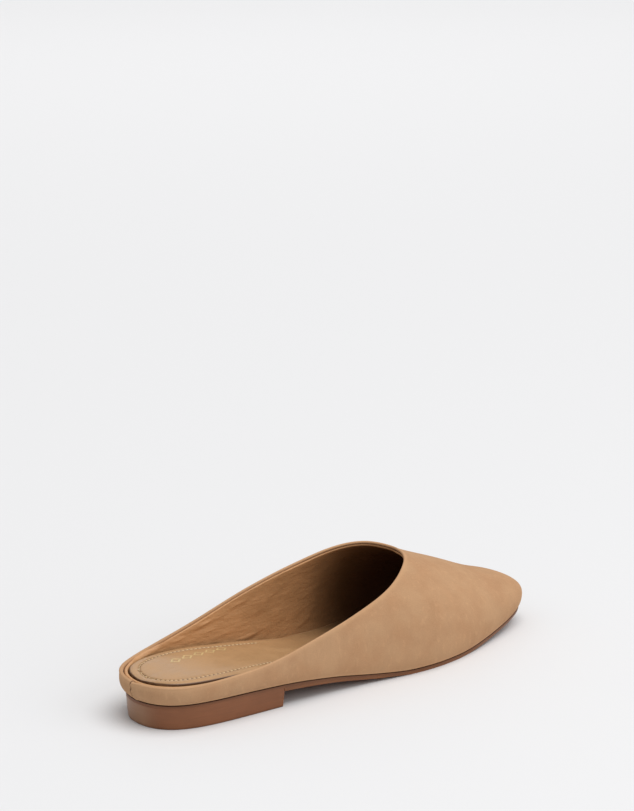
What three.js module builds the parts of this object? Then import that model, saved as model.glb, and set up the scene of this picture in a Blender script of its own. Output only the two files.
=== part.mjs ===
// A flat mule for the right foot, in four pieces: outsole, heel block, padded insole, and a one-piece
// upper that covers the forefoot and runs back as a low collar round the heel.
//
// Millimetres. +X points to the toe, +Y to the inner (medial) side and +Z up. Lengths along the shoe
// are counted from the back of the outsole, and the finished shoe stands on z = 0 over the origin.
import * as THREE from "three";
import { mergeVertices } from "three/addons/utils/BufferGeometryUtils.js";

// Driving sizes
const LENGTH = 250; // outsole, back of the heel to the tip of the toe
const BALL_WIDTH = 77; // outsole, across the ball of the foot
const INSTEP = 54; // crown of the upper above the floor, at the throat
const THROAT = 171; // front end of the foot opening
const SEAT_SKIVE = 1.6; // outsole thickness over the heel block
const HEEL_LENGTH = 70.7; // heel block on the floor, back to breast
const WALL = 2.4; // upper: leather and lining together
const HEEL_WALL = 4.2; // the same at the back of the heel, where a stiffener lies between them
const EDGE_ROUND = 0.8; // the upper's folded edges stand this proud of its two faces
const GAP = 0.3; // between pieces that are glued in the real shoe

// Finer sizes
const EDGE_LEAN = 0.12; // slope of the outsole's edge, which leans in towards the floor
const HEEL_TAPER = 0.8; // the heel block is this much smaller all round at the floor
const BREAST_LEAN = 0.7; // the heel's front face leans forward this far at its top
const SEAT_EDGE = 0.2; // outsole and heel stand this far inside the upper's lower edge
const STIFFENER_END = 85; // the stiffener thins away to nothing this far forward
const INSOLE_CLEARANCE = 1.0; // between the insole's edge and the lining
const INSOLE_UNDERCUT = 2.0; // the insole's underside is this much smaller all round
const DISH_FADE = 18; // half width of the insole at which its dish is fully formed
const TUCK = Math.PI / 3; // how far round the upper's lower edge rolls under the foot
const HEEL_CENTRE = 27; // the sections fan out round this point at the heel
const TOE_CENTRE = 226; // and round this one at the toe

// Outline of the outsole from above: half widths, as shares of the ball width, at shares of the length.
const OUTLINE = [
  { along: 0.0, lateral: 0.0, medial: 0.0 },
  { along: 0.0245, lateral: 0.218, medial: 0.229 },
  { along: 0.0955, lateral: 0.33, medial: 0.34 },
  { along: 0.206, lateral: 0.366, medial: 0.327 },
  { along: 0.3455, lateral: 0.387, medial: 0.296 },
  { along: 0.5, lateral: 0.416, medial: 0.396 },
  { along: 0.6545, lateral: 0.465, medial: 0.535 },
  { along: 0.794, lateral: 0.384, medial: 0.494 },
  { along: 0.9045, lateral: 0.26, medial: 0.383 },
  { along: 0.9755, lateral: 0.14, medial: 0.229 },
  { along: 1.0, lateral: 0.0, medial: 0.0 },
];

// Side profile: height of the tread above the floor, thickness of the outsole, and thickness of the
// insole over it.
const PROFILE = [
  { along: 0.0, tread: 9.4, sole: 3.3, insole: 10.9 },
  { along: 0.148, tread: 9.3, sole: 3.3, insole: 10.8 },
  { along: 0.28, tread: 8.4, sole: 3.3, insole: 9.2 },
  { along: 0.4, tread: 6.1, sole: 2.7, insole: 6.9 },
  { along: 0.52, tread: 1.9, sole: 2.3, insole: 5.2 },
  { along: 0.61, tread: 0.0, sole: 2.2, insole: 4.2 },
  { along: 0.735, tread: 0.0, sole: 2.2, insole: 3.8 },
  { along: 0.88, tread: 3.3, sole: 1.9, insole: 3.6 },
  { along: 1.0, tread: 7.6, sole: 1.7, insole: 3.6 },
];

// Sections of the upper. Crown: top of the closed section, as a share of the instep. Bulge: how far the
// widest line stands outside the outsole. Waist: height of that line above the outsole. Ridge: how far
// the crown lies to the medial side. Fullness: 2 is an ellipse, and more is squarer.
const SECTIONS = [
  { along: 0.0, crown: 1.574, bulge: 3.0, waist: 5.7, ridge: 0.0, fullness: 2.2 },
  { along: 0.24, crown: 1.574, bulge: 2.2, waist: 6.2, ridge: 0.0, fullness: 2.2 },
  { along: 0.42, crown: 1.333, bulge: 1.6, waist: 8.1, ridge: 1.8, fullness: 2.2 },
  { along: 0.52, crown: 1.176, bulge: 1.7, waist: 9.3, ridge: 3.3, fullness: 2.2 },
  { along: 0.6, crown: 1.115, bulge: 1.9, waist: 9.7, ridge: 4.4, fullness: 2.2 },
  { along: 0.652, crown: 1.063, bulge: 2.0, waist: 9.7, ridge: 4.9, fullness: 2.2 },
  { along: 0.688, crown: 0.994, bulge: 1.9, waist: 9.4, ridge: 5.0, fullness: 2.18 },
  { along: 0.728, crown: 0.906, bulge: 1.85, waist: 9.0, ridge: 5.0, fullness: 2.16 },
  { along: 0.784, crown: 0.802, bulge: 1.8, waist: 8.4, ridge: 5.0, fullness: 2.13 },
  { along: 0.848, crown: 0.674, bulge: 1.65, waist: 7.5, ridge: 5.0, fullness: 2.1 },
  { along: 0.912, crown: 0.556, bulge: 1.65, waist: 6.2, ridge: 4.8, fullness: 2.1 },
  { along: 0.96, crown: 0.511, bulge: 1.65, waist: 6.0, ridge: 4.8, fullness: 2.1 },
  { along: 1.0, crown: 0.47, bulge: 1.65, waist: 5.9, ridge: 4.8, fullness: 2.1 },
];

// Edge of the opening on each side, as a share of the way from the widest line (0) to the crown (1).
const TOPLINE = [
  { along: 0.0, lateral: 0.026, medial: 0.027 },
  { along: 0.05, lateral: 0.025, medial: 0.028 },
  { along: 0.1, lateral: 0.028, medial: 0.042 },
  { along: 0.145, lateral: 0.032, medial: 0.064 },
  { along: 0.205, lateral: 0.038, medial: 0.106 },
  { along: 0.269, lateral: 0.057, medial: 0.171 },
  { along: 0.336, lateral: 0.103, medial: 0.257 },
  { along: 0.424, lateral: 0.194, medial: 0.38 },
  { along: 0.5, lateral: 0.318, medial: 0.52 },
  { along: 0.568, lateral: 0.453, medial: 0.68 },
  { along: 0.632, lateral: 0.645, medial: 0.83 },
  { along: THROAT / LENGTH, lateral: 1.0, medial: 1.0 },
];

// Cross profile of the insole's upper face: how far it lies below its full thickness, at shares of the
// half width from the middle. It is dished under the foot and rounded off at the rim.
const DISH = [
  { across: 0.0, below: 0.7 },
  { across: 0.45, below: 0.4 },
  { across: 0.8, below: 0.0 },
  { across: 0.93, below: 0.2 },
  { across: 1.0, below: 0.8 },
];

// How finely the pieces are divided
const REAR_STEPS = 26; // sections behind the throat
const FRONT_STEPS = 18; // sections in front of it
const ROLL_STEPS = 4; // rows below the upper's widest line
const RISE_STEPS = 10; // rows above it
const HEEL_STEPS = 14;

// A smooth curve through the rows of a table: a natural cubic spline of one column over another.
function spline(xs, ys) {
  const n = xs.length;
  const bend = new Array(n).fill(0);
  const carry = new Array(n).fill(0);
  for (let i = 1; i < n - 1; i++) {
    const share = (xs[i] - xs[i - 1]) / (xs[i + 1] - xs[i - 1]);
    const pivot = share * carry[i - 1] + 2;
    const change =
      (ys[i + 1] - ys[i]) / (xs[i + 1] - xs[i]) - (ys[i] - ys[i - 1]) / (xs[i] - xs[i - 1]);
    carry[i] = (share - 1) / pivot;
    bend[i] = ((6 * change) / (xs[i + 1] - xs[i - 1]) - share * bend[i - 1]) / pivot;
  }
  for (let i = n - 2; i >= 0; i--) bend[i] += carry[i] * bend[i + 1];
  return (x) => {
    let i = 0;
    while (i < n - 2 && x > xs[i + 1]) i++;
    const width = xs[i + 1] - xs[i];
    const b = THREE.MathUtils.clamp((x - xs[i]) / width, 0, 1);
    const a = 1 - b;
    const sag = ((a ** 3 - a) * bend[i] + (b ** 3 - b) * bend[i + 1]) * (width * width) / 6;
    return a * ys[i] + b * ys[i + 1] + sag;
  };
}

// A curve through the rows that never overshoots them, so that equal rows stay flat between.
function steady(xs, ys) {
  const slopes = xs.slice(1).map((x, i) => (ys[i + 1] - ys[i]) / (x - xs[i]));
  const tangent = xs.map((_, i) => {
    const before = slopes[Math.max(i - 1, 0)];
    const after = slopes[Math.min(i, slopes.length - 1)];
    return before * after <= 0 ? 0 : (2 * before * after) / (before + after);
  });
  return (x) => {
    let i = 0;
    while (i < xs.length - 2 && x > xs[i + 1]) i++;
    const width = xs[i + 1] - xs[i];
    const b = THREE.MathUtils.clamp((x - xs[i]) / width, 0, 1);
    const a = 1 - b;
    return (
      ys[i] * a * a * (1 + 2 * b) +
      ys[i + 1] * b * b * (3 - 2 * b) +
      width * a * b * (tangent[i] * a - tangent[i + 1] * b)
    );
  };
}

const column = (table, name, scale = 1) => table.map((row) => row[name] * scale);
const along = (table) => column(table, "along", LENGTH);

// Distance along the shoe as an angle from 0 to pi, which rounds both ends of the outline.
const turn = (x) => Math.acos(THREE.MathUtils.clamp(1 - (2 * x) / LENGTH, -1, 1));
const unturn = (angle) => (LENGTH * (1 - Math.cos(angle))) / 2;
// Distance behind the throat, drawn out near it, which rounds the front of the opening.
const behind = (x) => Math.sqrt(Math.max(0, 1 - x / THROAT));

const outlineTurns = along(OUTLINE).map(turn);
const halfWidth = {
  lateral: spline(outlineTurns, column(OUTLINE, "lateral", BALL_WIDTH)),
  medial: spline(outlineTurns, column(OUTLINE, "medial", BALL_WIDTH)),
};
const tread = steady(along(PROFILE), column(PROFILE, "tread"));
const insoleThickness = steady(along(PROFILE), column(PROFILE, "insole"));
const soleThickness = steady(along(PROFILE), column(PROFILE, "sole"));
const seat = (x) => tread(x) + soleThickness(x); // top of the outsole
const crown = spline(along(SECTIONS), column(SECTIONS, "crown", INSTEP));
const bulge = spline(along(SECTIONS), column(SECTIONS, "bulge"));
const waist = spline(along(SECTIONS), column(SECTIONS, "waist"));
const ridge = steady(along(SECTIONS), column(SECTIONS, "ridge"));
const fullness = steady(along(SECTIONS), column(SECTIONS, "fullness"));
const toplineBehind = along(TOPLINE).map(behind).reverse();
const topline = {
  lateral: steady(toplineBehind, column(TOPLINE, "lateral").reverse()),
  medial: steady(toplineBehind, column(TOPLINE, "medial").reverse()),
};
const wall = (x) =>
  THREE.MathUtils.lerp(HEEL_WALL, WALL, THREE.MathUtils.smoothstep(x, 0, STIFFENER_END));
const dish = steady(column(DISH, "across"), column(DISH, "below"));

// A point of the outline from above, moved inwards by an inset.
function outlinePoint(side, x, inset = 0) {
  const sign = side === "medial" ? 1 : -1;
  const place = (angle) =>
    new THREE.Vector2(unturn(angle), sign * halfWidth[side](THREE.MathUtils.clamp(angle, 0, Math.PI)));
  const angle = turn(x);
  const step = 0.01;
  const before = place(angle - step);
  const after = place(angle + step);
  if (angle < step) before.set(after.x, -after.y);
  if (angle > Math.PI - step) after.set(before.x, -before.y);
  const run = after.sub(before).normalize();
  return place(angle).add(new THREE.Vector2(sign * run.y, -sign * run.x).multiplyScalar(inset));
}

// How much of the bulge the upper has reached at a height above the outsole.
function bulgeShare(x, height) {
  const rise = Math.min(1, height / waist(x));
  const angle = Math.asin((rise - 1) * Math.sin(TUCK));
  return (Math.cos(angle) - Math.cos(TUCK)) / (1 - Math.cos(TUCK));
}

// A point of the upper's outer face. Share runs from -1 at the outsole through 0 at the widest line
// to 1 at the crown.
function upperPoint(side, x, share) {
  const foot = outlinePoint(side, x);
  const middle = THREE.MathUtils.clamp(x, HEEL_CENTRE, TOE_CENTRE);
  const spine = new THREE.Vector2(middle, ridge(middle));
  const out = foot.sub(spine);
  const reach = out.length();
  out.normalize();
  const foundation = seat(x) + GAP + EDGE_ROUND / 2;
  if (share < 0) {
    const angle = share * TUCK;
    const radius = reach + (bulge(x) * (Math.cos(angle) - Math.cos(TUCK))) / (1 - Math.cos(TUCK));
    const place = spine.addScaledVector(out, radius);
    const height = waist(x) * (1 + Math.sin(angle) / Math.sin(TUCK));
    return new THREE.Vector3(place.x, place.y, foundation + height);
  }
  const angle = (share * Math.PI) / 2;
  const power = 2 / fullness(x);
  const radius = share < 1 ? (reach + bulge(x)) * Math.cos(angle) ** power : 0;
  const place = spine.addScaledVector(out, radius);
  const widest = foundation + waist(x);
  const height = (crown(place.x) - widest) * Math.sin(angle) ** power;
  return new THREE.Vector3(place.x, place.y, widest + height);
}

// Sections from the back of the heel to the throat and on to the toe, closer where the shape turns.
function stations() {
  const places = [];
  for (let k = 0; k <= REAR_STEPS; k++)
    places.push((THROAT * (1 - Math.cos((Math.PI * k) / REAR_STEPS))) / 2);
  for (let k = 1; k <= FRONT_STEPS; k++)
    places.push(THROAT + (LENGTH - THROAT) * Math.sin((Math.PI * k) / (2 * FRONT_STEPS)));
  return places;
}

// Quads between neighbouring rows of points, as triangles. A closed grid joins its last row to its first.
function grid(rows, closed = false) {
  const points = rows.flat();
  const width = rows[0].length;
  const triangles = [];
  for (let i = 0; i < rows.length - (closed ? 0 : 1); i++) {
    const here = i * width;
    const next = ((i + 1) % rows.length) * width;
    for (let j = 0; j < width - 1; j++) {
      triangles.push(here + j, next + j, next + j + 1);
      triangles.push(here + j, next + j + 1, here + j + 1);
    }
  }
  return { points, triangles };
}

// One indexed geometry, with equal points joined and flat triangles dropped.
function weld({ points, triangles }) {
  const loose = new THREE.BufferGeometry().setFromPoints(points).setIndex(triangles);
  const joined = mergeVertices(loose, 1e-3);
  const index = joined.index.array;
  const kept = [];
  for (let i = 0; i < index.length; i += 3) {
    const [a, b, c] = index.slice(i, i + 3);
    if (a !== b && b !== c && c !== a) kept.push(a, b, c);
  }
  return joined.setIndex(kept);
}

// A closed wall: the sheet as its outer face, a copy moved inwards by the wall's thickness there, and a
// rounded rim round the edges.
function shell(sheet, thickness) {
  sheet.computeVertexNormals();
  const outer = sheet.getAttribute("position");
  const normals = sheet.getAttribute("normal");
  const count = outer.count;
  const index = [...sheet.index.array];
  const at = (i) => new THREE.Vector3().fromBufferAttribute(outer, i);
  const normal = (i) => new THREE.Vector3().fromBufferAttribute(normals, i);
  const points = [];
  for (let i = 0; i < count; i++) points.push(at(i));
  const inside = (i, share) => at(i).addScaledVector(normal(i), -share * thickness(at(i).x));
  for (let i = 0; i < count; i++) points.push(inside(i, 1));
  const triangles = [...index];
  for (let i = 0; i < index.length; i += 3)
    triangles.push(index[i] + count, index[i + 2] + count, index[i + 1] + count);

  const edges = new Set();
  for (let i = 0; i < index.length; i += 3)
    for (let k = 0; k < 3; k++) edges.add(`${index[i + k]} ${index[i + ((k + 1) % 3)]}`);
  const free = [...edges].map((edge) => edge.split(" ").map(Number));
  const rim = free.filter(([a, b]) => !edges.has(`${b} ${a}`));
  const away = new Map(rim.map(([a]) => [a, new THREE.Vector3()]));
  for (const [a, b] of rim) {
    const run = at(b).sub(at(a)).normalize();
    away.get(a).add(run.clone().cross(normal(a)));
    away.get(b).add(run.cross(normal(b)));
  }
  const crest = new Map();
  for (const [i, direction] of away) {
    crest.set(i, points.length);
    points.push(inside(i, 0.5).addScaledVector(direction.normalize(), EDGE_ROUND));
  }
  for (const [a, b] of rim) {
    const bow = [crest.get(a), crest.get(b)];
    triangles.push(b, a, bow[0], b, bow[0], bow[1]);
    triangles.push(bow[1], bow[0], a + count, bow[1], a + count, b + count);
  }
  return weld({ points, triangles });
}

// A solid through closed rings, one for each section. Rings that shrink to a line close by themselves,
// and a flat last ring is capped.
function loft(rings, capped = false) {
  const { points, triangles } = grid(rings.map((ring) => [...ring, ring[0]]));
  if (capped) {
    const start = (rings.length - 1) * (rings[0].length + 1);
    for (let j = 1; j < rings[0].length - 1; j++) triangles.push(start, start + j + 1, start + j);
  }
  return weld({ points, triangles });
}

// A ring across the shoe: over the top from lateral to medial, and back along the underside.
function ringAcross(x, { topInset, bottomInset, topHeight, bottomHeight, shares }) {
  const lerp = (inset, share) => {
    const lateral = outlinePoint("lateral", x, inset);
    const medial = outlinePoint("medial", x, inset);
    return lateral.lerp(medial, (share + 1) / 2);
  };
  const top = shares.map((share) => {
    const place = lerp(topInset, share);
    return new THREE.Vector3(place.x, place.y, topHeight(share));
  });
  const bottom = shares.map((share) => {
    const place = lerp(bottomInset, -share);
    return new THREE.Vector3(place.x, place.y, bottomHeight);
  });
  return [...top, ...bottom];
}

function upperGeometry() {
  const places = stations();
  const columnAt = (side) => (x) => {
    const top = x < THROAT ? topline[side](behind(x)) : 1;
    const points = [];
    for (let j = 0; j < ROLL_STEPS; j++) points.push(upperPoint(side, x, j / ROLL_STEPS - 1));
    for (let j = 0; j <= RISE_STEPS; j++) points.push(upperPoint(side, x, (top * j) / RISE_STEPS));
    return points;
  };
  const lateral = places.map(columnAt("lateral"));
  const medial = places.slice(1, -1).reverse().map(columnAt("medial"));
  return shell(weld(grid([...lateral, ...medial], true)), wall);
}

function outsoleGeometry() {
  const shares = [-1, -0.5, 0, 0.5, 1];
  const breast = HEEL_LENGTH + BREAST_LEAN + GAP;
  const ring = (x) => {
    const thickness = x < breast ? SEAT_SKIVE : soleThickness(x);
    return ringAcross(x, {
      topInset: SEAT_EDGE,
      bottomInset: SEAT_EDGE + EDGE_LEAN * thickness,
      topHeight: () => seat(x),
      bottomHeight: seat(x) - thickness,
      shares,
    });
  };
  const flat = PROFILE.filter((row) => row.tread === 0).map((row) => row.along * LENGTH);
  const places = [...stations(), breast - 0.1, breast + 0.1, ...flat].sort((a, b) => a - b);
  return loft(places.map(ring));
}

function heelGeometry() {
  const shares = [-1, -0.5, 0, 0.5, 1];
  const rings = [];
  for (let k = 0; k <= HEEL_STEPS; k++) {
    const x = HEEL_LENGTH * (1 - Math.cos((Math.PI * k) / (2 * HEEL_STEPS)));
    const lean = (BREAST_LEAN * x) / HEEL_LENGTH;
    const ring = ringAcross(x, {
      topInset: SEAT_EDGE + EDGE_LEAN * SEAT_SKIVE,
      bottomInset: SEAT_EDGE + EDGE_LEAN * SEAT_SKIVE + HEEL_TAPER,
      topHeight: () => seat(x + lean) - SEAT_SKIVE - GAP,
      bottomHeight: 0,
      shares,
    });
    for (const point of ring) if (point.z > 0) point.x += lean;
    rings.push(ring);
  }
  return loft(rings, true);
}

function insoleGeometry() {
  const rims = column(DISH, "across");
  const shares = [...rims.slice(1).map((share) => -share).reverse(), ...rims];
  const ring = (x) => {
    const thickness = insoleThickness(x);
    const lining = bulge(x) * bulgeShare(x, thickness) - wall(x);
    const topInset = INSOLE_CLEARANCE - lining;
    const halfway = (halfWidth.lateral(turn(x)) + halfWidth.medial(turn(x))) / 2;
    const fade = Math.min(1, halfway / DISH_FADE); // the dish dies away into the two ends
    const below = (share) => THREE.MathUtils.lerp(dish(1), dish(Math.abs(share)), fade);
    return ringAcross(x, {
      topInset,
      bottomInset: topInset + INSOLE_UNDERCUT,
      topHeight: (share) => seat(x) + thickness - below(share),
      bottomHeight: seat(x) + GAP,
      shares,
    });
  };
  return loft(stations().map(ring));
}

function piece(name, geometry, color, roughness) {
  const material = new THREE.MeshStandardMaterial({ color, roughness, metalness: 0 });
  const mesh = new THREE.Mesh(geometry, material);
  mesh.name = name;
  return mesh;
}

const shoe = new THREE.Group();
shoe.add(piece("upper", upperGeometry(), 0xbd9570, 0.95));
shoe.add(piece("insole", insoleGeometry(), 0xba9468, 0.5));
shoe.add(piece("outsole", outsoleGeometry(), 0x8c5c3e, 0.5));
shoe.add(piece("heel", heelGeometry(), 0x7d5438, 0.4));

// The origin goes on the floor, under the middle of the whole shoe.
const box = new THREE.Box3().setFromObject(shoe);
const middle = box.getCenter(new THREE.Vector3());
shoe.position.set(-middle.x, -middle.y, -box.min.z);

export default shoe;
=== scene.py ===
"""A flat mule for the right foot: tan nubuck upper, glazed leather lining and sock, leather sole and heel.

The add-on builds the shoe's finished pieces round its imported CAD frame, in metres. +X points to the toe,
+Y to the inner side of the foot and +Z up, and the shoe stands on z = 0.
"""

import math

import bmesh
import bpy
from bpy.props import FloatProperty, FloatVectorProperty, PointerProperty
from mathutils import Matrix, Quaternion, Vector
from mathutils.bvhtree import BVHTree
from mathutils.kdtree import KDTree


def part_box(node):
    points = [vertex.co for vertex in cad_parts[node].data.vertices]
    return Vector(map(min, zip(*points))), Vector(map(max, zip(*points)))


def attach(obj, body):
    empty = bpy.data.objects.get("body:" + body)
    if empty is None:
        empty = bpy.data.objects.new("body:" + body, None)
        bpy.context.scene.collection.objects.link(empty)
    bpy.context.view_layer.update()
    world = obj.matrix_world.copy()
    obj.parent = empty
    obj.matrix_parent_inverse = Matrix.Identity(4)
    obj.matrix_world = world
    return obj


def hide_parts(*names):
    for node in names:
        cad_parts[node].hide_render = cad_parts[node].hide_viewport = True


bl_info = {
    "name": "Nubuck Mule",
    "version": (1, 0, 0),
    "blender": (4, 5, 0),
    "location": "View3D > Sidebar > Mule",
    "description": "Builds a flat nubuck mule shoe round its CAD frame",
    "category": "Add Mesh",
}

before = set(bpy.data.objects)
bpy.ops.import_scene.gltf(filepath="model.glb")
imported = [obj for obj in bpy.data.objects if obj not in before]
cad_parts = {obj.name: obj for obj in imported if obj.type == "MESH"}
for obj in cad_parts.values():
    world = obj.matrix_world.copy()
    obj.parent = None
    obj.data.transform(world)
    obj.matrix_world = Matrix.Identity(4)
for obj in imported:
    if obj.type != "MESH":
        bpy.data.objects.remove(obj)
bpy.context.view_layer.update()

MM = 0.001
SOLE_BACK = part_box("outsole")[0].x  # lengths along the shoe are counted from here
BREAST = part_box("heel")[1].x - SOLE_BACK  # front of the heel block
SEAM = -2.1 * MM  # the heel seam lies across the shoe here, on the middle of the heel
STIFFENED = 85 * MM  # the stiffener round the heel thins out up to here
ROW_ENDS = (76 * MM, 86 * MM)  # the sock's stitches stop here, on the outer and the inner side
CLEARANCE = 0.1 * MM  # between the nubuck and the lining
HEEL_LIFT = 0.27 * MM  # closes the frame's gap between the heel block and the sole above it
STEP_BACK = 0.6 * MM  # closes the gap between the heel block and the sole in front of it
ROLL_STEPS = 6  # faces round a rolled edge


# Sizes and colours


def length(name, description, default, low=0.0):
    """A size of the shoe, kept in metres."""
    return FloatProperty(
        name=name, description=description, default=default, min=low, unit="LENGTH", precision=5
    )


def colour(name, description, code):
    """A colour given as sRGB hex, kept as linear red, green and blue."""
    return FloatVectorProperty(
        name=name, description=description, default=linear(code)[:3], subtype="COLOR", min=0, max=1
    )


def linear(code):
    """An sRGB hex colour as linear RGBA."""
    parts = [int(code[i : i + 2], 16) / 255 for i in (1, 3, 5)]
    return [p / 12.92 if p <= 0.04045 else ((p + 0.055) / 1.055) ** 2.4 for p in parts] + [1.0]


class MuleSizes(bpy.types.PropertyGroup):
    """Sizes of the pieces that are laid over the CAD frame."""

    nubuck: length("Nubuck", "Thickness of the nubuck, folded at the topline", 1.3 * MM)
    collar: length("Collar Nubuck", "The same at the back of the heel", 2.1 * MM)
    lining: length("Lining", "Thickness of the lining leather", 0.9 * MM)
    stiffener: length("Collar Lining", "The same at the back of the heel, over the stiffener", 1.9 * MM)
    groove: length("Groove", "How far the lining's edge sits below the nubuck's fold", 0.9 * MM)
    fold: length("Fold", "How far the nubuck's edge stands above the frame's", 0.3 * MM)
    hem: length("Hem", "How far the nubuck's lower edge reaches towards the sole", 0.05 * MM)
    seam: length("Heel Seam", "Depth of the seam at the back of the heel", 0.6 * MM)
    border: length("Stitch Border", "From the sock's edge to its stitches, at the heel", 4.8 * MM)
    channel: length("Stitch Channel", "Depth of the channel that the stitches lie in", 0.35 * MM)
    hole: length("Stitch Hole", "Depth of each hole below the channel", 0.35 * MM)
    board: length("Heel Lift", "How far the sock stands above the frame's insole at the heel", 0.45 * MM)
    curl: length("Edge Curl", "How far the sock's inner edge turns up in front of the waist", 1.2 * MM)
    padding: length("Padding", "How far the padding swells inside the row of stitches", 0.7 * MM)
    pitch: length("Stitch Pitch", "From one stitch to the next", 2.4 * MM, 0.5 * MM)
    thread: length("Thread", "Thickness of the thread", 0.55 * MM)


class MuleColours(bpy.types.PropertyGroup):
    """Colours of the leathers and of the stage."""

    nubuck: colour("Nubuck", "Nubuck, where its nap lies flat", "#BA936F")
    nubuck_shade: colour("Nubuck Shade", "Nubuck, where its nap is ruffled", "#AE815D")
    lining: colour("Lining", "Glazed lining leather", "#C29163")
    sock: colour("Sock", "Glazed leather of the sock", "#B48C62")
    deep: colour("Deep Leather", "Lining and sock where little light reaches them", "#482B17")
    thread: colour("Thread", "Thread of the sock's stitches", "#DDC094")
    seam: colour("Seam", "Thread of the heel seam", "#5A3620")
    sole: colour("Sole", "Inked edge of the outsole", "#835230")
    heel: colour("Heel", "Waxed heel block", "#825030")
    # Painted highlight: a lighter greyish sheen painted on the back of the heel block where light catches
    # it; the wax there is not dull.
    painted_sheen: colour("Painted Heel Sheen", "Heel block where its wax has gone dull", "#9E7C5E")
    foil: colour("Foil", "Pale gold foil on the sock", "#E2C68E")
    floor: colour("Floor", "Studio floor", "#E4E4E5")


# Hand tools


def deselect_all():
    """Leave edit mode with nothing selected."""
    if bpy.context.object and bpy.context.mode != "OBJECT":
        bpy.ops.object.mode_set(mode="OBJECT")
    bpy.ops.object.select_all(action="DESELECT")


def activate(piece):
    """Make a piece the only one selected."""
    deselect_all()
    piece.select_set(True)
    bpy.context.view_layer.objects.active = piece


def edit(piece, mode="FACE"):
    """Open a piece in edit mode with nothing selected."""
    activate(piece)
    bpy.ops.object.mode_set(mode="EDIT")
    bpy.ops.mesh.select_mode(type=mode)
    bpy.ops.mesh.select_all(action="DESELECT")


def select(piece, kind, test):
    """Select the vertices, edges or faces of a piece, in edit mode, for which the test holds."""
    mesh = bmesh.from_edit_mesh(piece.data)
    for part in getattr(mesh, kind):
        part.select_set(bool(test(part)))
    mesh.select_flush_mode()
    bmesh.update_edit_mesh(piece.data)


def apply(piece, kind, **settings):
    """Add a modifier with these settings and apply it."""
    activate(piece)
    modifier = piece.modifiers.new(kind.title(), kind)
    for name, value in settings.items():
        setattr(modifier, name, value)
    bpy.ops.object.modifier_apply(modifier=modifier.name)


def frame_copy(node, name):
    """A merged copy of a CAD node, as quads where its faces allow."""
    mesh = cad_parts[node].data.copy()
    mesh.name = name
    mesh.materials.clear()
    piece = bpy.data.objects.new(name, mesh)
    bpy.context.scene.collection.objects.link(piece)
    edit(piece)
    bpy.ops.mesh.select_all(action="SELECT")
    bpy.ops.mesh.customdata_custom_splitnormals_clear()
    bpy.ops.mesh.remove_doubles(threshold=0.01 * MM)
    bpy.ops.mesh.tris_convert_to_quads(
        face_threshold=0.7, shape_threshold=1.4, topology_influence=1.0
    )
    bpy.ops.object.mode_set(mode="OBJECT")
    return piece


def shift(piece, by, test):
    """Move the vertices of a piece for which the test holds."""
    edit(piece, "VERT")
    select(piece, "verts", test)
    bpy.ops.transform.translate(value=by)
    bpy.ops.object.mode_set(mode="OBJECT")


def copy_of(piece, name):
    """A second piece with its own mesh."""
    twin = bpy.data.objects.new(name, piece.data.copy())
    twin.data.name = name
    bpy.context.scene.collection.objects.link(twin)
    return twin


def even(mesh, ways, rounds):
    """Average each vertex's way with its neighbours', so that a sliver of a face does not tilt it."""
    near = {vert: [edge.other_vert(vert) for edge in vert.link_edges] for vert in ways}
    near = {vert: [other for other in others if other in ways] for vert, others in near.items()}
    for _ in range(rounds):
        ways = {
            vert: sum((ways[other] for other in near[vert]), ways[vert] * 2).normalized()
            for vert in ways
        }
    return ways


def ways_out(mesh):
    """For each vertex on an open edge of a sheet, the way out of the sheet there."""
    ways = {}
    for edge in mesh.edges:
        if not edge.is_boundary:
            continue
        loop = edge.link_loops[0]
        out = (loop.link_loop_next.vert.co - loop.vert.co).cross(loop.face.normal)
        for vert in edge.verts:
            ways[vert] = ways.get(vert, Vector()) + out
    return even(mesh, {vert: out.normalized() for vert, out in ways.items()}, 4)


def free_loops(piece):
    """The open edges of a sheet, its topline and its lower edge, each as points with the way out there."""
    mesh = bmesh.new()
    mesh.from_mesh(piece.data)
    mesh.normal_update()
    ways = ways_out(mesh)
    loops = []
    left = set(ways)
    while left:
        stack = [left.pop()]
        loop = []
        while stack:
            vert = stack.pop()
            loop.append((vert.co.copy(), ways[vert]))
            for edge in vert.link_edges:
                other = edge.other_vert(vert)
                if edge.is_boundary and other in left:
                    left.remove(other)
                    stack.append(other)
        loops.append(loop)
    mesh.free()
    loops.sort(key=lambda loop: -max(point.z for point, _ in loop))
    return loops


def wrap(piece, thickness):
    """Give a sheet its thickness at each place, inwards, and roll its open edges over in half rounds."""
    mesh = bmesh.new()
    mesh.from_mesh(piece.data)
    mesh.normal_update()
    outer = list(mesh.verts)
    ways = ways_out(mesh)
    normals = even(mesh, {vert: vert.normal.copy() for vert in outer}, 8)
    rims = [edge.link_loops[0] for edge in mesh.edges if edge.is_boundary]
    rims = [(loop.vert, loop.link_loop_next.vert) for loop in rims]
    faces = list(mesh.faces)
    inner, rolls = {}, {}
    for vert in outer:
        deep = thickness(vert.co)
        normal = normals[vert]
        inner[vert] = mesh.verts.new(vert.co - normal * deep)
        if vert in ways:
            rolls[vert] = [vert]
            for step in range(1, ROLL_STEPS):
                angle = math.pi * step / ROLL_STEPS
                out = ways[vert] * (0.35 * deep + 0.1 * MM) * math.sin(angle)
                down = normal * deep * (1 - math.cos(angle)) / 2
                rolls[vert].append(mesh.verts.new(vert.co + out - down))
            rolls[vert].append(inner[vert])
    for face in faces:
        mesh.faces.new([inner[vert] for vert in reversed(face.verts)])
    for a, b in rims:
        for step in range(ROLL_STEPS):
            mesh.faces.new((rolls[b][step], rolls[a][step], rolls[a][step + 1], rolls[b][step + 1]))
    mesh.to_mesh(piece.data)
    mesh.free()


def nearest(loop):
    """A search tree over a loop's points."""
    tree = KDTree(len(loop))
    for i, (point, _) in enumerate(loop):
        tree.insert(point, i)
    tree.balance()
    return tree


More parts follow.
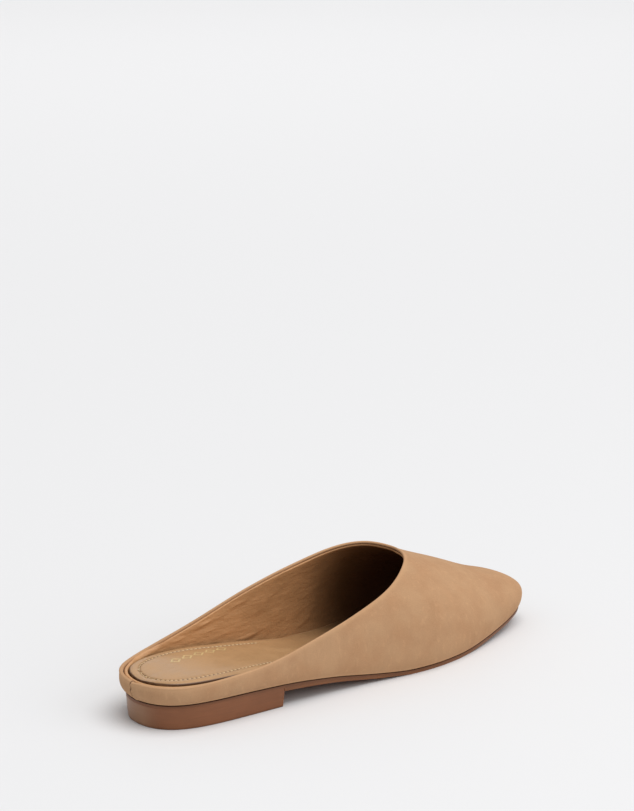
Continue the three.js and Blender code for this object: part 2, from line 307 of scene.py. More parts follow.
def stretch(piece, loop, amount, reach):
    """Draw the edge of a sheet outwards in its own surface by the amount at each place, with the rows
    behind it following."""
    tree = nearest(loop)
    for vert in piece.data.vertices:
        _, i, distance = tree.find(vert.co)
        if distance < reach:
            vert.co += loop[i][1] * amount(vert.co) * (1 - distance / reach) ** 2


def along(place):
    """How far forward of the back of the sole a place lies."""
    return place.x - SOLE_BACK


def flat(place):
    """A place as seen from above."""
    return Vector((place.x, place.y, 0))


def fade(value, start, end):
    """0 up to the start, 1 from the end, and an even change between."""
    t = min(1.0, max(0.0, (value - start) / (end - start)))
    return t * t * (3 - 2 * t)


def ridge(distance, width):
    """A soft ridge: 1 on its line and nothing beyond twice its width."""
    return math.exp(-((distance / width) ** 2))


def press(piece, depth):
    """Press a sheet in along its normals by the depth at each vertex. A negative depth raises it."""
    mesh = bmesh.new()
    mesh.from_mesh(piece.data)
    mesh.normal_update()
    normals = even(mesh, {vert: vert.normal.copy() for vert in mesh.verts}, 8)
    for vert, normal in normals.items():
        vert.co -= normal * depth(vert.co)
    mesh.to_mesh(piece.data)
    mesh.free()


def wrinkles(place, folds):
    """Depth at a place on a wall of the shoe of folds given, in millimetres, by the distance along the shoe
    and the height of both ends, the width and the depth."""
    here = Vector((along(place), place.z)) / MM
    depth = 0.0
    for start, end, width, deep in folds:
        start, end = Vector(start), Vector(end)
        run = end - start
        t = (here - start).dot(run) / run.length_squared
        if 0 < t < 1:
            side = (here - start - run * t).length
            depth += deep * MM * math.sin(math.pi * t) ** 0.7 * ridge(side, width)
    return depth


def mark(piece, name, value):
    """Store a number at each vertex for the piece's material to read."""
    attribute = piece.data.attributes.new(name, "FLOAT", "POINT")
    attribute.data.foreach_set("value", [value(vert) for vert in piece.data.vertices])


def finish(piece, material, node=None, angle=40):
    """Shade a piece smooth and hand it to the frame."""
    activate(piece)
    bpy.ops.object.shade_smooth_by_angle(angle=math.radians(angle))
    piece.data.materials.clear()
    piece.data.materials.append(material)
    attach(piece, "root")
    if node:
        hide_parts(node)
    deselect_all()


# Materials


def add(tree, kind, inputs=None, **settings):
    """Add a shader node with its settings, and set or link its inputs, each given by name or number."""
    node = tree.nodes.new(kind)
    for name, value in settings.items():
        setattr(node, name, value)
    for name, value in (inputs or {}).items():
        if isinstance(value, bpy.types.NodeSocket):
            tree.links.new(value, node.inputs[name])
        else:
            node.inputs[name].default_value = value
    return node


def new_material(name):
    """An empty node material and its tree."""
    material = bpy.data.materials.new(name)
    material.use_nodes = True
    material.node_tree.nodes.clear()
    return material, material.node_tree


def patches(tree, place, size, detail, low, high):
    """Soft cloudy patches of about a size in millimetres, from 0 to 1."""
    noise = add(
        tree,
        "ShaderNodeTexNoise",
        {"Vector": place, "Scale": 1 / (size * MM), "Detail": detail, "Roughness": 0.55},
    ).outputs["Fac"]
    spread = {"Value": noise, "From Min": low, "From Max": high}
    return add(tree, "ShaderNodeMapRange", spread).outputs["Result"]


def coats(tree, base, *layers):
    """Lay colours over a base colour one after another, each with its share. The base, the shares and the
    colours are fixed values or outputs."""
    for share, tone in layers:
        inputs = {0: share, 6: base, 7: tone}
        base = add(tree, "ShaderNodeMix", inputs, data_type="RGBA").outputs[2]
    return base


def surface(tree, inputs):
    """End a material in a surface with these inputs."""
    shader = add(tree, "ShaderNodeBsdfPrincipled", inputs)
    add(tree, "ShaderNodeOutputMaterial", {"Surface": shader.outputs["BSDF"]})


def rgba(values, scale=1.0):
    """A stored colour as RGBA, made lighter or darker."""
    return [min(1.0, v * scale) for v in values] + [1.0]


def nubuck_material(colours):
    """Nubuck: calf leather sanded on its grain side. Matt, with a fine nap that clouds as it is brushed.
    The real nap is too fine to show, so it is drawn as a speckle of 0.55 mm."""
    material, tree = new_material("sanded_nubuck")
    tone = colours.nubuck
    place = add(tree, "ShaderNodeTexCoord").outputs["Object"]
    clouds = patches(tree, place, 18, 4, 0.38, 0.62)
    strokes = {"Vector": place, "Scale": (1.0, 1.6, 0.45), "Rotation": (0, 0.5, 0.2)}
    strokes = add(tree, "ShaderNodeMapping", strokes).outputs["Vector"]
    brushed = patches(tree, strokes, 7, 4, 0.3, 0.7)
    nap = patches(tree, place, 0.55, 2, 0.25, 0.75)
    base = coats(tree, rgba(colours.nubuck_shade), (clouds, rgba(tone)))
    base = coats(tree, base, (0.4, coats(tree, rgba(tone, 0.82), (brushed, rgba(tone, 1.06)))))
    scuffs = patches(tree, strokes, 2.6, 4, 0.56, 0.74)
    base = coats(tree, base, (0.35, coats(tree, base, (scuffs, rgba(tone, 1.35)))))
    rub = add(tree, "ShaderNodeAttribute", attribute_name="rub").outputs["Fac"]
    shade = add(tree, "ShaderNodeAttribute", attribute_name="shade").outputs["Fac"]
    # Painted light: highlights painted along the topline fold and the lower edge, and painted shade in the
    # trough of the heel seam, darkened towards the seam thread's colour.
    base = coats(
        tree,
        base,
        (0.3, coats(tree, rgba(tone, 0.74), (nap, rgba(tone, 1.12)))),
        (rub, rgba(tone, 1.22)),
        (shade, rgba(colours.seam, 0.6)),
    )
    fine = {"Height": nap, "Strength": 0.35, "Distance": 0.06 * MM}
    fine = add(tree, "ShaderNodeBump", fine).outputs["Normal"]
    soft = {"Height": brushed, "Normal": fine, "Strength": 0.3, "Distance": 0.2 * MM}
    surface(
        tree,
        {
            "Base Color": base,
            "Roughness": 0.92,
            "IOR": 1.45,
            "Specular IOR Level": 0.2,
            "Sheen Weight": 0.14,
            "Sheen Roughness": 0.45,
            "Sheen Tint": rgba(tone, 1.3),
            "Normal": add(tree, "ShaderNodeBump", soft).outputs["Normal"],
        },
    )
    return material


def glazed_leather(name, tone, deep, low, roughness, wrinkle):
    """Glazed lining leather: a fine pebbled grain under a thin finish, which gives it a low warm sheen.
    Its pores are drawn at 0.6 to 0.8 mm, coarser than real ones, so that they show."""
    material, tree = new_material(name)
    place = add(tree, "ShaderNodeTexCoord").outputs["Object"]
    clouds = patches(tree, place, 15, 4, 0.35, 0.65)
    cells = {"Vector": place, "Scale": 1 / (0.6 * MM)}
    cells = add(tree, "ShaderNodeTexVoronoi", cells).outputs["Distance"]
    pores = patches(tree, place, 0.8, 3, 0.3, 0.6)
    shade = add(tree, "ShaderNodeAttribute", attribute_name="shade").outputs["Fac"]
    rub = add(tree, "ShaderNodeAttribute", attribute_name="rub").outputs["Fac"]
    # Painted shade darkens the leather towards the deep colour where little light reaches it, and painted
    # light makes it a quarter lighter where more light falls.
    base = coats(
        tree,
        rgba(tone, low),
        (clouds, rgba(tone, 1.05)),
        (0.22, coats(tree, rgba(tone, low * 0.8), (pores, rgba(tone, 1.1)))),
        (shade, rgba(deep)),
        (rub, rgba(tone, 1.25)),
    )
    gloss = {"Value": clouds, "To Min": roughness - 0.05, "To Max": roughness + 0.08}
    fine = {"Height": cells, "Strength": 0.25, "Distance": 0.05 * MM}
    fine = add(tree, "ShaderNodeBump", fine).outputs["Normal"]
    lines = {"Vector": place, "Rotation": (0, 0.45, 0), "Scale": (0.5, 1.0, 1.3)}
    lines = add(tree, "ShaderNodeMapping", lines).outputs["Vector"]
    creases = patches(tree, lines, 4.2, 4, 0.34, 0.66)
    wide = {"Height": creases, "Normal": fine, "Strength": wrinkle, "Distance": 0.6 * MM}
    surface(
        tree,
        {
            "Base Color": base,
            "Roughness": add(tree, "ShaderNodeMapRange", gloss).outputs["Result"],
            "IOR": 1.5,
            "Specular IOR Level": 0.4,
            "Normal": add(tree, "ShaderNodeBump", wide).outputs["Normal"],
        },
    )
    return material


def waxed_leather(name, tone, second, roughness):
    """Sole leather cut on edge, inked and waxed: close grain in faint level streaks, and a soft polish."""
    material, tree = new_material(name)
    place = add(tree, "ShaderNodeTexCoord").outputs["Object"]
    level = {"Vector": place, "Scale": (0.08, 0.08, 1.0)}
    level = add(tree, "ShaderNodeMapping", level).outputs["Vector"]
    streaks = patches(tree, level, 0.9, 3, 0.3, 0.7)
    clouds = patches(tree, place, 20, 3, 0.35, 0.65)
    # The second colour is the heel block's own colour on the sole, and a painted sheen on the heel block.
    part = add(tree, "ShaderNodeAttribute", attribute_name="second").outputs["Fac"]
    shade = add(tree, "ShaderNodeAttribute", attribute_name="shade").outputs["Fac"]
    dark = coats(tree, rgba(tone, 0.9), (part, rgba(second, 0.9)))
    light = coats(tree, rgba(tone, 1.08), (part, rgba(second, 1.08)))
    base = coats(
        tree,
        dark,
        (clouds, light),
        (0.25, coats(tree, rgba(tone, 0.72), (streaks, rgba(tone, 1.2)))),
        (shade, rgba(tone, 0.4)),
    )
    grain = {"Height": streaks, "Strength": 0.2, "Distance": 0.06 * MM}
    surface(
        tree,
        {
            "Base Color": base,
            "Roughness": roughness,
            "IOR": 1.5,
            "Specular IOR Level": 0.35,
            "Coat Weight": 0.05,
            "Coat Roughness": 0.35,
            "Normal": add(tree, "ShaderNodeBump", grain).outputs["Normal"],
        },
    )
    return material


def foil_material(tone):
    """Gold foil pressed into the leather, worn thin in places so that the leather dulls it."""
    material, tree = new_material("worn_gold_foil")
    place = add(tree, "ShaderNodeTexCoord").outputs["Object"]
    worn = patches(tree, place, 1.6, 3, 0.35, 0.65)
    base = coats(tree, rgba(tone, 0.72), (worn, rgba(tone, 1.05)))
    surface(tree, {"Base Color": base, "Metallic": 0.35, "Roughness": 0.42})
    return material


def thread_material(name, tone):
    """Waxed polyester thread: two plies twisted together, with a slight shine."""
    material, tree = new_material(name)
    place = add(tree, "ShaderNodeTexCoord").outputs["Object"]
    ply = patches(tree, place, 0.35, 2, 0.3, 0.7)
    base = coats(tree, rgba(tone, 0.7), (ply, rgba(tone, 1.1)))
    surface(tree, {"Base Color": base, "Roughness": 0.5, "IOR": 1.5})
    return material


# Pieces

# Creases in the lining on the inner side of the foot. Each runs from one place to another, given as the
# distance along the shoe and the height above the floor, with its width and depth. A negative depth is
# the swell of loose leather beside a crease. All are in millimetres.
LINING_CREASES = (
    ((50, 30.5), (57, 31.5), 0.6, 0.35),
    ((56, 30.8), (68, 34.8), 0.6, 0.5),
    ((54, 28.6), (67, 32), 1.3, -0.35),
    ((66, 33.6), (74, 35), 0.5, 0.4),
    ((75, 36.5), (80, 39.2), 0.6, 0.5),
    ((79, 38.6), (88, 40.5), 0.6, 0.45),
    ((76, 34.6), (87, 38), 1.5, -0.4),
    ((42, 26.5), (50, 27.5), 0.6, 0.35),
    ((60, 27.5), (68, 28.5), 0.7, 0.3),
    ((84, 19), (92, 20), 0.6, 0.5),
    ((90, 19.2), (98, 21.8), 0.7, 0.55),
    ((97, 21), (106, 21.8), 0.6, 0.4),
    ((84, 17), (100, 18.6), 1.1, -0.35),
    ((72, 24.5), (80, 25), 0.7, 0.35),
    ((79, 25.4), (88, 28.2), 0.8, 0.35),
    ((88, 26), (104, 30.5), 2.2, -0.45),
    ((104, 23), (113, 29), 1.1, 0.45),
    ((112, 27), (118, 35), 1.6, -0.35),
    ((120, 15), (131, 20), 1.3, -0.45),
    ((126, 13), (136, 15.5), 0.9, 0.5),
    ((134, 14), (141, 21), 1.2, 0.5),
    ((96, 35), (108, 39), 1.4, 0.35),
    ((108, 36), (124, 43), 2.0, -0.35),
)

# How the stitches of the heel seam lean, from the lowest to the highest
SEAM_LEAN = (0.5, -0.3, 0.45, -0.4, 0.3)


def outer_sheet():
    """The outer face of the frame's upper as one smooth sheet, with rows for the seam at the heel."""
    sheet = frame_copy("upper", "sheet")
    edit(sheet)
    back = min(sheet.data.polygons, key=lambda face: face.center.x)
    select(sheet, "faces", lambda face: face.index == back.index)
    bpy.ops.mesh.faces_select_linked_flat(sharpness=math.radians(40))
    bpy.ops.mesh.select_mode(type="VERT")
    bpy.ops.mesh.select_mode(type="FACE")
    bpy.ops.mesh.select_all(action="INVERT")
    bpy.ops.mesh.delete(type="FACE")
    bpy.ops.object.mode_set(mode="OBJECT")
    apply(sheet, "SUBSURF", levels=2, render_levels=2)
    topline, _ = free_loops(sheet)
    throat = max((point for point, _ in topline), key=lambda point: point.x)
    edit(sheet, "VERT")
    select(
        sheet,
        "verts",
        lambda vert: not vert.is_boundary and (vert.co - throat).length < 16 * MM,
    )
    bpy.ops.mesh.vertices_smooth(factor=0.5, repeat=20)
    select(sheet, "verts", lambda vert: not vert.is_boundary)
    bpy.ops.mesh.vertices_smooth(factor=0.5, repeat=4)
    for side in (-2.4, -1.7, -1.1, -0.7, -0.35, 0, 0.35, 0.7, 1.1, 1.7):
        select(sheet, "faces", lambda face: along(face.calc_center_median()) < 6 * MM)
        bpy.ops.mesh.bisect(plane_co=(0, SEAM + side * MM, 0), plane_no=(0, 1, 0))
        bpy.ops.mesh.select_all(action="DESELECT")
    bpy.ops.object.mode_set(mode="OBJECT")
    return sheet


def edge_loop(piece, test):
    """The edge of a patch of faces as points in order, from the toe back along the outer side."""
    mesh = bmesh.new()
    mesh.from_mesh(piece.data)
    mesh.normal_update()
    ways = {}
    for edge in mesh.edges:
        if sum(test(face) for face in edge.link_faces) == 1:
            for vert in edge.verts:
                ways.setdefault(vert, []).append(edge.other_vert(vert))
    start = max(ways, key=lambda vert: vert.co.x)
    last, here = start, min(ways[start], key=lambda vert: vert.co.y)
    points = [start.co.copy()]
    while here is not start and len(points) < len(ways):
        points.append(here.co.copy())
        last, here = here, next(vert for vert in ways[here] if vert is not last)
    mesh.free()
    return points


def spaced(points, pitch):
    """Places at an even pitch along a line of points, each with the way the line runs there."""
    places = []
    walked = 0.0
    for i in range(1, len(points) - 1):
        step = (points[i + 1] - points[i]).length
        while len(places) * pitch < walked + step:
            share = (len(places) * pitch - walked) / step
            way = points[min(i + 3, len(points) - 1)] - points[max(i - 2, 0)]
            places.append((points[i].lerp(points[i + 1], share), way.normalized()))
        walked += step
    return places


def repeat(model, name, places):
    """Copy a model to each place, (middle, way it runs, way up), and join the copies."""
    copies = []
    for middle, way, up in places:
        copy = copy_of(model, name)
        across = up.cross(way).normalized()
        turn = Matrix((way, across, way.cross(across))).transposed().to_4x4()
        copy.matrix_world = Matrix.Translation(middle) @ turn
        copies.append(copy)
    bpy.data.objects.remove(model)
    deselect_all()
    for copy in copies:
        copy.select_set(True)
    bpy.context.view_layer.objects.active = copies[0]
    bpy.ops.object.join()
    bpy.ops.object.transform_apply(location=True, rotation=True, scale=True)
    joined = bpy.context.object
    joined.name = joined.data.name = name
    return joined


def stitches(name, places, long, thick):
    """A row of stitches, each a short swell of thread."""
    deselect_all()
    bpy.ops.mesh.primitive_uv_sphere_add(segments=12, ring_count=8, radius=1)
    model = bpy.context.object
    edit(model, "VERT")
    bpy.ops.mesh.select_all(action="SELECT")
    bpy.ops.transform.rotate(
        value=math.pi / 2, orient_axis="Y", center_override=(0, 0, 0), orient_type="GLOBAL"
    )
    bpy.ops.transform.resize(value=(long / 2, thick / 2, thick / 2), center_override=(0, 0, 0))
    bpy.ops.object.mode_set(mode="OBJECT")
    return repeat(model, name, places)


class MULE_OT_upper(bpy.types.Operator):
    """Nubuck upper, folded at the topline and sewn at the heel, with the lining inside it"""

    bl_idname = "mule.upper"
    bl_label = "Upper and Lining"

    def execute(self, context):
        sizes, colours = context.scene.mule_sizes, context.scene.mule_colours
        sheet = outer_sheet()
        topline, hem = free_loops(sheet)
        stretch(sheet, topline, lambda place: self.wall(place, -0.3 * MM, sizes.fold), 6 * MM)
        stretch(sheet, hem, lambda place: sizes.hem, 4 * MM)
        topline, hem = free_loops(sheet)
        top, low = nearest(topline), nearest(hem)

        lining = copy_of(sheet, "lining")
        stretch(lining, topline, lambda place: -sizes.groove, 6 * MM)
        press(lining, lambda place: self.wall(place, sizes.collar, sizes.nubuck) + CLEARANCE)
        press(lining, lambda place: wrinkles(place, LINING_CREASES) if place.y > 0 else 0.0)
        wrap(lining, lambda place: self.wall(place, sizes.stiffener, sizes.lining))

        def dim(vert):
            far = along(vert.co)
            below = fade(top.find(vert.co)[2], 2.4 * MM, 4.6 * MM)
            inside = 0.1 * fade(far, 60 * MM, 108 * MM) + 0.86 * fade(far, 122 * MM, 184 * MM)
            return inside * (0.25 + 0.75 * below)

        mark(lining, "shade", dim)
        # Painted light: the lining is painted lighter at the heel, fading out from 50 to 90 mm forward.
        mark(lining, "rub", lambda vert: 0.35 * (1 - fade(along(vert.co), 50 * MM, 90 * MM)))
        tan = glazed_leather("glazed_lining_leather", colours.lining, colours.deep, 0.86, 0.48, 0.45)
        finish(lining, tan)

        nubuck = sheet
        nubuck.name = nubuck.data.name = "nubuck_upper"
        press(nubuck, lambda place: self.seam(place, top.find(place)[2], sizes.seam))
        wrap(nubuck, lambda place: self.wall(place, sizes.collar, sizes.nubuck))

        # Painted highlight: the nubuck is painted lighter along its fold at the topline and along its lower
        # edge.
        def rub(vert):
            above = ridge(top.find(vert.co)[2], 1.5 * MM)
            below = ridge(low.find(vert.co)[2], 1.1 * MM)
            return 0.5 * above + 0.42 * below

        # Painted shade: the trough of the heel seam is painted dark.
        def shade(vert):
            at_back = 1 - fade(along(vert.co), 2 * MM, 5 * MM)
            return 0.95 * at_back * ridge(vert.co.y - self.seam_line(vert.co), 0.36 * MM)

        mark(nubuck, "rub", rub)
        mark(nubuck, "shade", shade)
        finish(nubuck, nubuck_material(colours), "upper")
        self.sew(nubuck, hem, topline, sizes, colours)
        return {"FINISHED"}

    @staticmethod
    def wall(place, back, front):
        """Thickness of a layer, from that at the back of the heel to that in front of the stiffener."""
        return back + (front - back) * fade(along(place), 0, STIFFENED)

    @staticmethod
    def seam_line(place):
        """The heel seam wavers a little from side to side as it rises."""
        return SEAM + 0.38 * MM * math.sin(place.z / (0.55 * MM))

    def seam(self, place, below_top, deep):
        """Depth of the heel seam: a trough, a raised edge on the outer side, and a curl at the topline."""
        if along(place) > 6 * MM:
            return 0.0
        side = place.y - self.seam_line(place)
        trough = deep * ridge(side, 0.4 * MM)
        raised = 0.35 * MM * ridge(side + 1.1 * MM, 0.7 * MM)
        curl = 0.35 * MM * ridge(below_top - 0.6 * MM, 0.8 * MM) * ridge(side + 2.5 * MM, 2.5 * MM)
        return trough - raised - curl

    def sew(self, nubuck, hem, topline, sizes, colours):
        """Dark stitches down the heel seam."""
        skin = BVHTree.FromObject(nubuck, bpy.context.evaluated_depsgraph_get())

        def from_seam(entry):
            return abs(entry[0].y - SEAM) + abs(along(entry[0]))

        bottom = min(hem, key=from_seam)[0].z
        crest = min(topline, key=from_seam)[0].z
        places = []
        for i, lean in enumerate(SEAM_LEAN):
            height = bottom + (crest - bottom) * (i + 0.6) / len(SEAM_LEAN)
            start = Vector((SOLE_BACK - 30 * MM, SEAM, height))
            start.y = self.seam_line(start)
            hit, normal, _, _ = skin.ray_cast(start, Vector((1, 0, 0)))
            way = Vector((0, math.sin(lean), math.cos(lean)))
            way = (way - normal * way.dot(normal)).normalized()
            places.append((hit + normal * 0.05 * MM, way, normal))
        row = stitches("seam_stitches", places, 1.5 * MM, sizes.thread * 0.9)
        finish(row, thread_material("dark_bonded_thread", colours.seam))


class MULE_OT_sock(bpy.types.Operator):
    """Padded insole covered with leather, its row of stitches and its foil ornament"""

    bl_idname = "mule.sock"
    bl_label = "Insole"

    def execute(self, context):
        sizes, colours = context.scene.mule_sizes, context.scene.mule_colours
        sock = frame_copy("insole", "insole_sock")
        edit(sock, "EDGE")
        bpy.ops.mesh.edges_select_sharp(sharpness=math.radians(50))
        bpy.ops.mesh.bevel(offset=0.5 * MM, segments=2, profile=0.5)
        bpy.ops.object.mode_set(mode="OBJECT")
        apply(sock, "SUBSURF", levels=3, render_levels=3)
        rim = edge_loop(sock, lambda face: face.normal.z > 0.6)
        tree = nearest([(flat(point), None) for point in rim])

        def from_rim(place):
            return tree.find(flat(place))[2]

        def inset(place):
            return from_rim(place) - self.border(place, sizes)

        edit(sock)
        select(sock, "faces", lambda face: self.in_row(face, inset))
        bpy.ops.mesh.subdivide(number_cuts=2)
        bpy.ops.object.mode_set(mode="OBJECT")
        line = self.row(rim, sizes)
        holes = nearest([(place, None) for place, _ in spaced(line, sizes.pitch)])
        moves = [self.swell(vert, inset(vert.co), holes, sizes) for vert in sock.data.vertices]
        for vert, move in zip(sock.data.vertices, moves):
            vert.co.z += move

        # Painted shade: dark in the stitch holes, in the gap along the sock's rim round the heel, and deep
        # inside the shoe towards the toe.
        def shade(vert):
            far = along(vert.co)
            hole = self.hole(vert.co, inset(vert.co), holes) if vert.normal.z > 0.3 else 0.0
            gap = 0.95 * ridge(from_rim(vert.co), 0.4 * MM) * (1 - fade(far, 80 * MM, 100 * MM))
            inside = 0.2 * fade(far, 104 * MM, 130 * MM) + 0.7 * fade(far, 134 * MM, 168 * MM)
            return max(hole, gap, inside)

        # Painted highlight: a light line along the sock's rim, from about 104 to 172 mm forward of the
        # back.
        def rub(vert):
            far = along(vert.co)
            lit = fade(far, 104 * MM, 116 * MM) * (1 - fade(far, 150 * MM, 172 * MM))
            return lit * ridge(from_rim(vert.co), 0.5 * MM)

        mark(sock, "shade", shade)
        mark(sock, "rub", rub)
        tan = glazed_leather("glazed_sock_leather", colours.sock, colours.deep, 0.9, 0.36, 0.1)
        finish(sock, tan, "insole")
        self.sew(sock, line, sizes, colours)
        self.stamp(sock, colours)
        return {"FINISHED"}

    @staticmethod
    def border(place, sizes):
        """The row of stitches draws in from the edge as it runs forward, most on the outer side."""
        draw = 4.0 * MM if place.y < SEAM else 2.2 * MM
        return sizes.border + draw * fade(along(place), 34 * MM, 76 * MM)

    @staticmethod
    def row_end(place):
        """Where the row of stitches stops on this side of the foot."""
        return ROW_ENDS[0] if place.y < SEAM else ROW_ENDS[1]

    @staticmethod
    def in_row(face, inset):
        """Whether a face of the sock lies in the band of its stitches."""
        place = face.calc_center_median()
        return face.normal.z > 0.5 and along(place) < 90 * MM and abs(inset(place)) < 1.1 * MM

    def row(self, rim, sizes):
        """The line of the stitches from above, from the outer side round the heel to the inner side."""
        line = []
        for i in range(3, len(rim) - 3):
            point = rim[i]
            way = rim[i + 3] - rim[i - 3]
            inner = Vector((-way.y, way.x, 0)).normalized()
            if inner.dot(Vector((-point.x + SOLE_BACK + 40 * MM, SEAM - point.y, 0))) < 0:
                inner.negate()
            if along(point) < self.row_end(point):
                line.append(flat(point + inner * self.border(point, sizes)))
        return line

    @staticmethod
    def hole(place, inset, holes):
        """How near a place is to a stitch hole, which the thread has pulled wide across the row. The sock's
        painted shade darkens the holes by it.
        """
        far = holes.find(flat(place))[2]
        return ridge(math.sqrt(max(0.0, far**2 - inset**2)), 0.42 * MM) * ridge(inset, 0.8 * MM)

    def swell(self, vert, inset, holes, sizes):
        """Rise of the sock at a vertex: board, padding, rounded border, channel, holes and curl."""
        if vert.normal.z < 0.3:
            return 0.0
        place = vert.co
        beyond = along(place) - self.row_end(place)
        padded = 1 - math.exp(-max(0.0, inset) / (3.5 * MM))
        rounded = 0.25 * MM * ridge(inset + 2.4 * MM, 1.6 * MM)
        rise = sizes.board + sizes.padding * padded + rounded
        rise *= 1 - fade(beyond, 2 * MM, 24 * MM)
        rise -= (1 - fade(beyond, 0, 5 * MM)) * sizes.channel * ridge(inset, 0.55 * MM)
        if place.y > SEAM:
            curl = ridge(inset + self.border(place, sizes), 2.4 * MM)
            rise += sizes.curl * curl * fade(along(place), 106 * MM, 130 * MM)
        return rise - sizes.hole * ridge(holes.find(flat(place))[2], 0.45 * MM)

    def sew(self, sock, line, sizes, colours):
        """The row of stitches, each lying in the channel between two holes."""
        skin = BVHTree.FromObject(sock, bpy.context.evaluated_depsgraph_get())
        places = []
        for place, way in spaced(line, sizes.pitch):
            middle = place + way * sizes.pitch / 2
            hit, normal, _, _ = skin.ray_cast(middle + Vector((0, 0, 0.1)), Vector((0, 0, -1)))
            run = (way - normal * way.dot(normal)).normalized()
            places.append((hit + normal * 0.2 * MM, run, normal))
        row = stitches("sock_stitches", places, sizes.pitch * 0.62, sizes.thread)
        finish(row, thread_material("pale_waxed_thread", colours.thread))

    @staticmethod
    def stamp(sock, colours):
        """A plain foil ornament on the heel of the sock: a row of open lozenges."""
        deselect_all()
        bpy.ops.mesh.primitive_circle_add(vertices=4, radius=MM, fill_type="NGON")
        model = bpy.context.object
        edit(model)
        bpy.ops.mesh.select_all(action="SELECT")
        bpy.ops.mesh.inset(thickness=0.27 * MM)
        bpy.ops.mesh.delete(type="FACE")
        bpy.ops.mesh.select_all(action="SELECT")
        bpy.ops.mesh.subdivide(number_cuts=3)
        bpy.ops.transform.resize(value=(3.6, 2.9, 1), center_override=(0, 0, 0))
        bpy.ops.object.mode_set(mode="OBJECT")
        start = Vector((SOLE_BACK + 31 * MM, SEAM + 7.5 * MM, 40 * MM))
        step = Vector((7.6 * MM, 0.5 * MM, 0))
        way = step.normalized()
        places = [(start + step * i, way, Vector((0, 0, 1))) for i in range(5)]
        foil = repeat(model, "foil_ornament", places)
        apply(
            foil,
            "SHRINKWRAP",
            target=sock,
            wrap_method="PROJECT",
            use_project_z=True,
            use_negative_direction=True,
            use_positive_direction=False,
            offset=0.06 * MM,
        )
        apply(foil, "SOLIDIFY", thickness=0.05 * MM, offset=-1)
        finish(foil, foil_material(colours.foil))


class MULE_OT_sole(bpy.types.Operator):
    """Leather outsole and heel block"""

    bl_idname = "mule.sole"
    bl_label = "Outsole and Heel"

    def execute(self, context):
        colours = context.scene.mule_colours
        sole = frame_copy("outsole", "leather_outsole")
        shift(sole, (-STEP_BACK, 0, 0), lambda vert: self.at_breast(vert.co))
        self.mark_top(sole, 0.7)
        front = BREAST + 60 * MM
        self.smooth(sole, 2, 0.25 * MM, lambda edge: min(along(v.co) for v in edge.verts) > front)
        mark(sole, "second", lambda vert: 1 - fade(along(vert.co), BREAST, BREAST + 0.6 * MM))
        inked = waxed_leather("inked_sole_leather", colours.sole, colours.heel, 0.5)
        finish(sole, inked, "outsole", 30)
        heel = frame_copy("heel", "heel_block")
        shift(heel, (0, 0, HEEL_LIFT), lambda vert: vert.co.z > 3 * MM)
        self.smooth(heel, 3, 0.4 * MM, lambda edge: min(v.co.z for v in edge.verts) < 1 * MM)
        mark(heel, "shade", lambda vert: 0.5 * ridge(vert.co.z, 0.8 * MM))
        # Painted highlight: the back of the heel block is painted towards the sheen colour.
        mark(heel, "second", lambda vert: 0.65 * self.painted_sheen(vert.co))
        waxed = waxed_leather("waxed_heel_leather", colours.heel, colours.painted_sheen, 0.36)
        finish(heel, waxed, "heel", 30)
        return {"FINISHED"}

    @staticmethod
    def at_breast(place):
        """Whether a place on the sole lies at the step that meets the front of the heel block."""
        return place.z < 11 * MM and BREAST < along(place) < BREAST + 0.6 * MM

    @staticmethod
    def painted_sheen(place):
        """Painted highlight: how much sheen is painted on the back of the heel block, none on its outer
        side.
        """
        return (1 - fade(along(place), 2 * MM, 12 * MM)) * fade(place.y, -17 * MM, -4 * MM)

    @staticmethod
    def mark_top(piece, top):
        """Store how dark a cut edge is made at its top, fading to nothing at its bottom."""
        ups = {i for face in piece.data.polygons if face.normal.z > 0.7 for i in face.vertices}
        mark(piece, "shade", lambda vert: top if vert.index in ups else 0.0)

    @staticmethod
    def smooth(piece, levels, rounding, test):
        """Round the outline, soften the sharp edges that pass the test and keep the others sharp."""
        edit(piece, "EDGE")
        bpy.ops.mesh.edges_select_sharp(sharpness=math.radians(35))
        mesh = bmesh.from_edit_mesh(piece.data)
        sharp = {edge.index for edge in mesh.edges if edge.select}
        select(piece, "edges", lambda edge: edge.index in sharp and not test(edge))
        bpy.ops.transform.edge_crease(value=1.0)
        select(piece, "edges", lambda edge: edge.index in sharp and test(edge))
        bpy.ops.mesh.bevel(offset=rounding, segments=2, profile=0.5)
        bpy.ops.object.mode_set(mode="OBJECT")
        apply(piece, "SUBSURF", levels=levels, render_levels=levels)


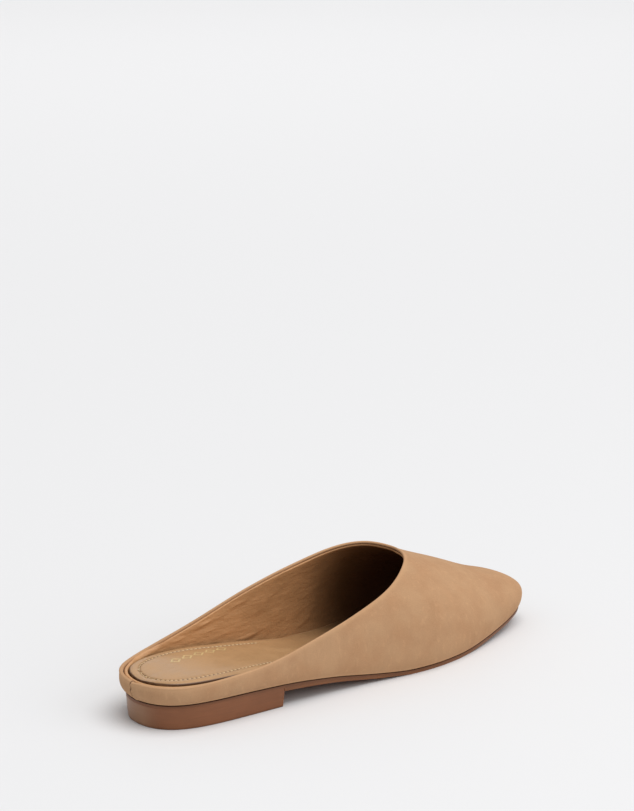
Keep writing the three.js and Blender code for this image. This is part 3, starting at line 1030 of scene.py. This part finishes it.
class MULE_OT_stage(bpy.types.Operator):
    """Pale studio floor, soft light and camera"""

    bl_idname = "mule.stage"
    bl_label = "Stage"

    def execute(self, context):
        scene, colours = context.scene, context.scene.mule_colours
        deselect_all()
        bpy.ops.mesh.primitive_plane_add(size=30, location=(0, 0, 0))
        floor = context.object
        floor.name = floor.data.name = "floor"
        material, tree = new_material("matt_paper")
        paper = {"Base Color": rgba(colours.floor), "Roughness": 0.9, "Specular IOR Level": 0.1}
        surface(tree, paper)
        floor.data.materials.append(material)

        world = bpy.data.worlds.new("studio")
        world.use_nodes = True
        world.node_tree.nodes["Background"].inputs["Color"].default_value = (1, 1, 1, 1)
        world.node_tree.nodes["Background"].inputs["Strength"].default_value = 0.52
        scene.world = world

        bpy.ops.object.light_add(type="SUN", rotation=(math.radians(14), math.radians(10), 0))
        sun = context.object
        sun.name = "overhead_silk"
        sun.data.energy = 1.75
        sun.data.angle = math.radians(50)

        self.panel("softbox", (0.6, -1.15, 0.75), (0, 0, 0.02), (1.2, 0.8), 4.2)
        self.panel("sheen_card", (1.1, 1.4, 0.65), (-0.06, 0, 0.02), (1.0, 0.35), 0.9)

        bpy.ops.object.camera_add(location=(-1.25511, -1.54449, 0.7307))
        camera = context.object
        camera.name = "camera"
        look = Vector((0.60319, 0.74507, -0.28465))
        turn = look.to_track_quat("-Z", "Y") @ Quaternion((0, 0, 1), math.radians(-0.69))
        camera.rotation_euler = turn.to_euler()
        camera.data.lens = 182.93
        camera.data.sensor_width = 36
        camera.data.clip_end = 60
        camera.data.dof.use_dof = False
        scene.camera = camera
        scene.view_settings.view_transform = "Standard"
        return {"FINISHED"}

    @staticmethod
    def panel(name, place, aim, size, energy):
        """A rectangular soft light turned towards a point."""
        bpy.ops.object.light_add(type="AREA", location=place)
        light = bpy.context.object
        light.name = name
        light.data.shape = "RECTANGLE"
        light.data.size, light.data.size_y = size
        light.data.energy = energy
        way = Vector(aim) - light.location
        light.rotation_euler = way.to_track_quat("-Z", "Y").to_euler()


class MULE_PT_panel(bpy.types.Panel):
    """Sidebar panel that lists the shoe's pieces, sizes and colours"""

    bl_label = "Nubuck Mule"
    bl_idname = "MULE_PT_panel"
    bl_space_type = "VIEW_3D"
    bl_region_type = "UI"
    bl_category = "Mule"

    def draw(self, context):
        column = self.layout.column()
        for operator in OPERATORS:
            column.operator(operator.bl_idname)
        for group in (context.scene.mule_sizes, context.scene.mule_colours):
            for name in group.__annotations__:
                column.prop(group, name)


OPERATORS = (MULE_OT_upper, MULE_OT_sock, MULE_OT_sole, MULE_OT_stage)
CLASSES = (MuleSizes, MuleColours, *OPERATORS, MULE_PT_panel)


def register():
    """Register the classes and the two groups of settings."""
    for cls in CLASSES:
        bpy.utils.register_class(cls)
    bpy.types.Scene.mule_sizes = PointerProperty(type=MuleSizes)
    bpy.types.Scene.mule_colours = PointerProperty(type=MuleColours)


def unregister():
    """Undo register."""
    del bpy.types.Scene.mule_sizes
    del bpy.types.Scene.mule_colours
    for cls in reversed(CLASSES):
        bpy.utils.unregister_class(cls)


def main():
    """Build the shoe and its stage."""
    register()
    bpy.ops.mule.upper()
    bpy.ops.mule.sock()
    bpy.ops.mule.sole()
    bpy.ops.mule.stage()


if __name__ == "__main__":
    main()
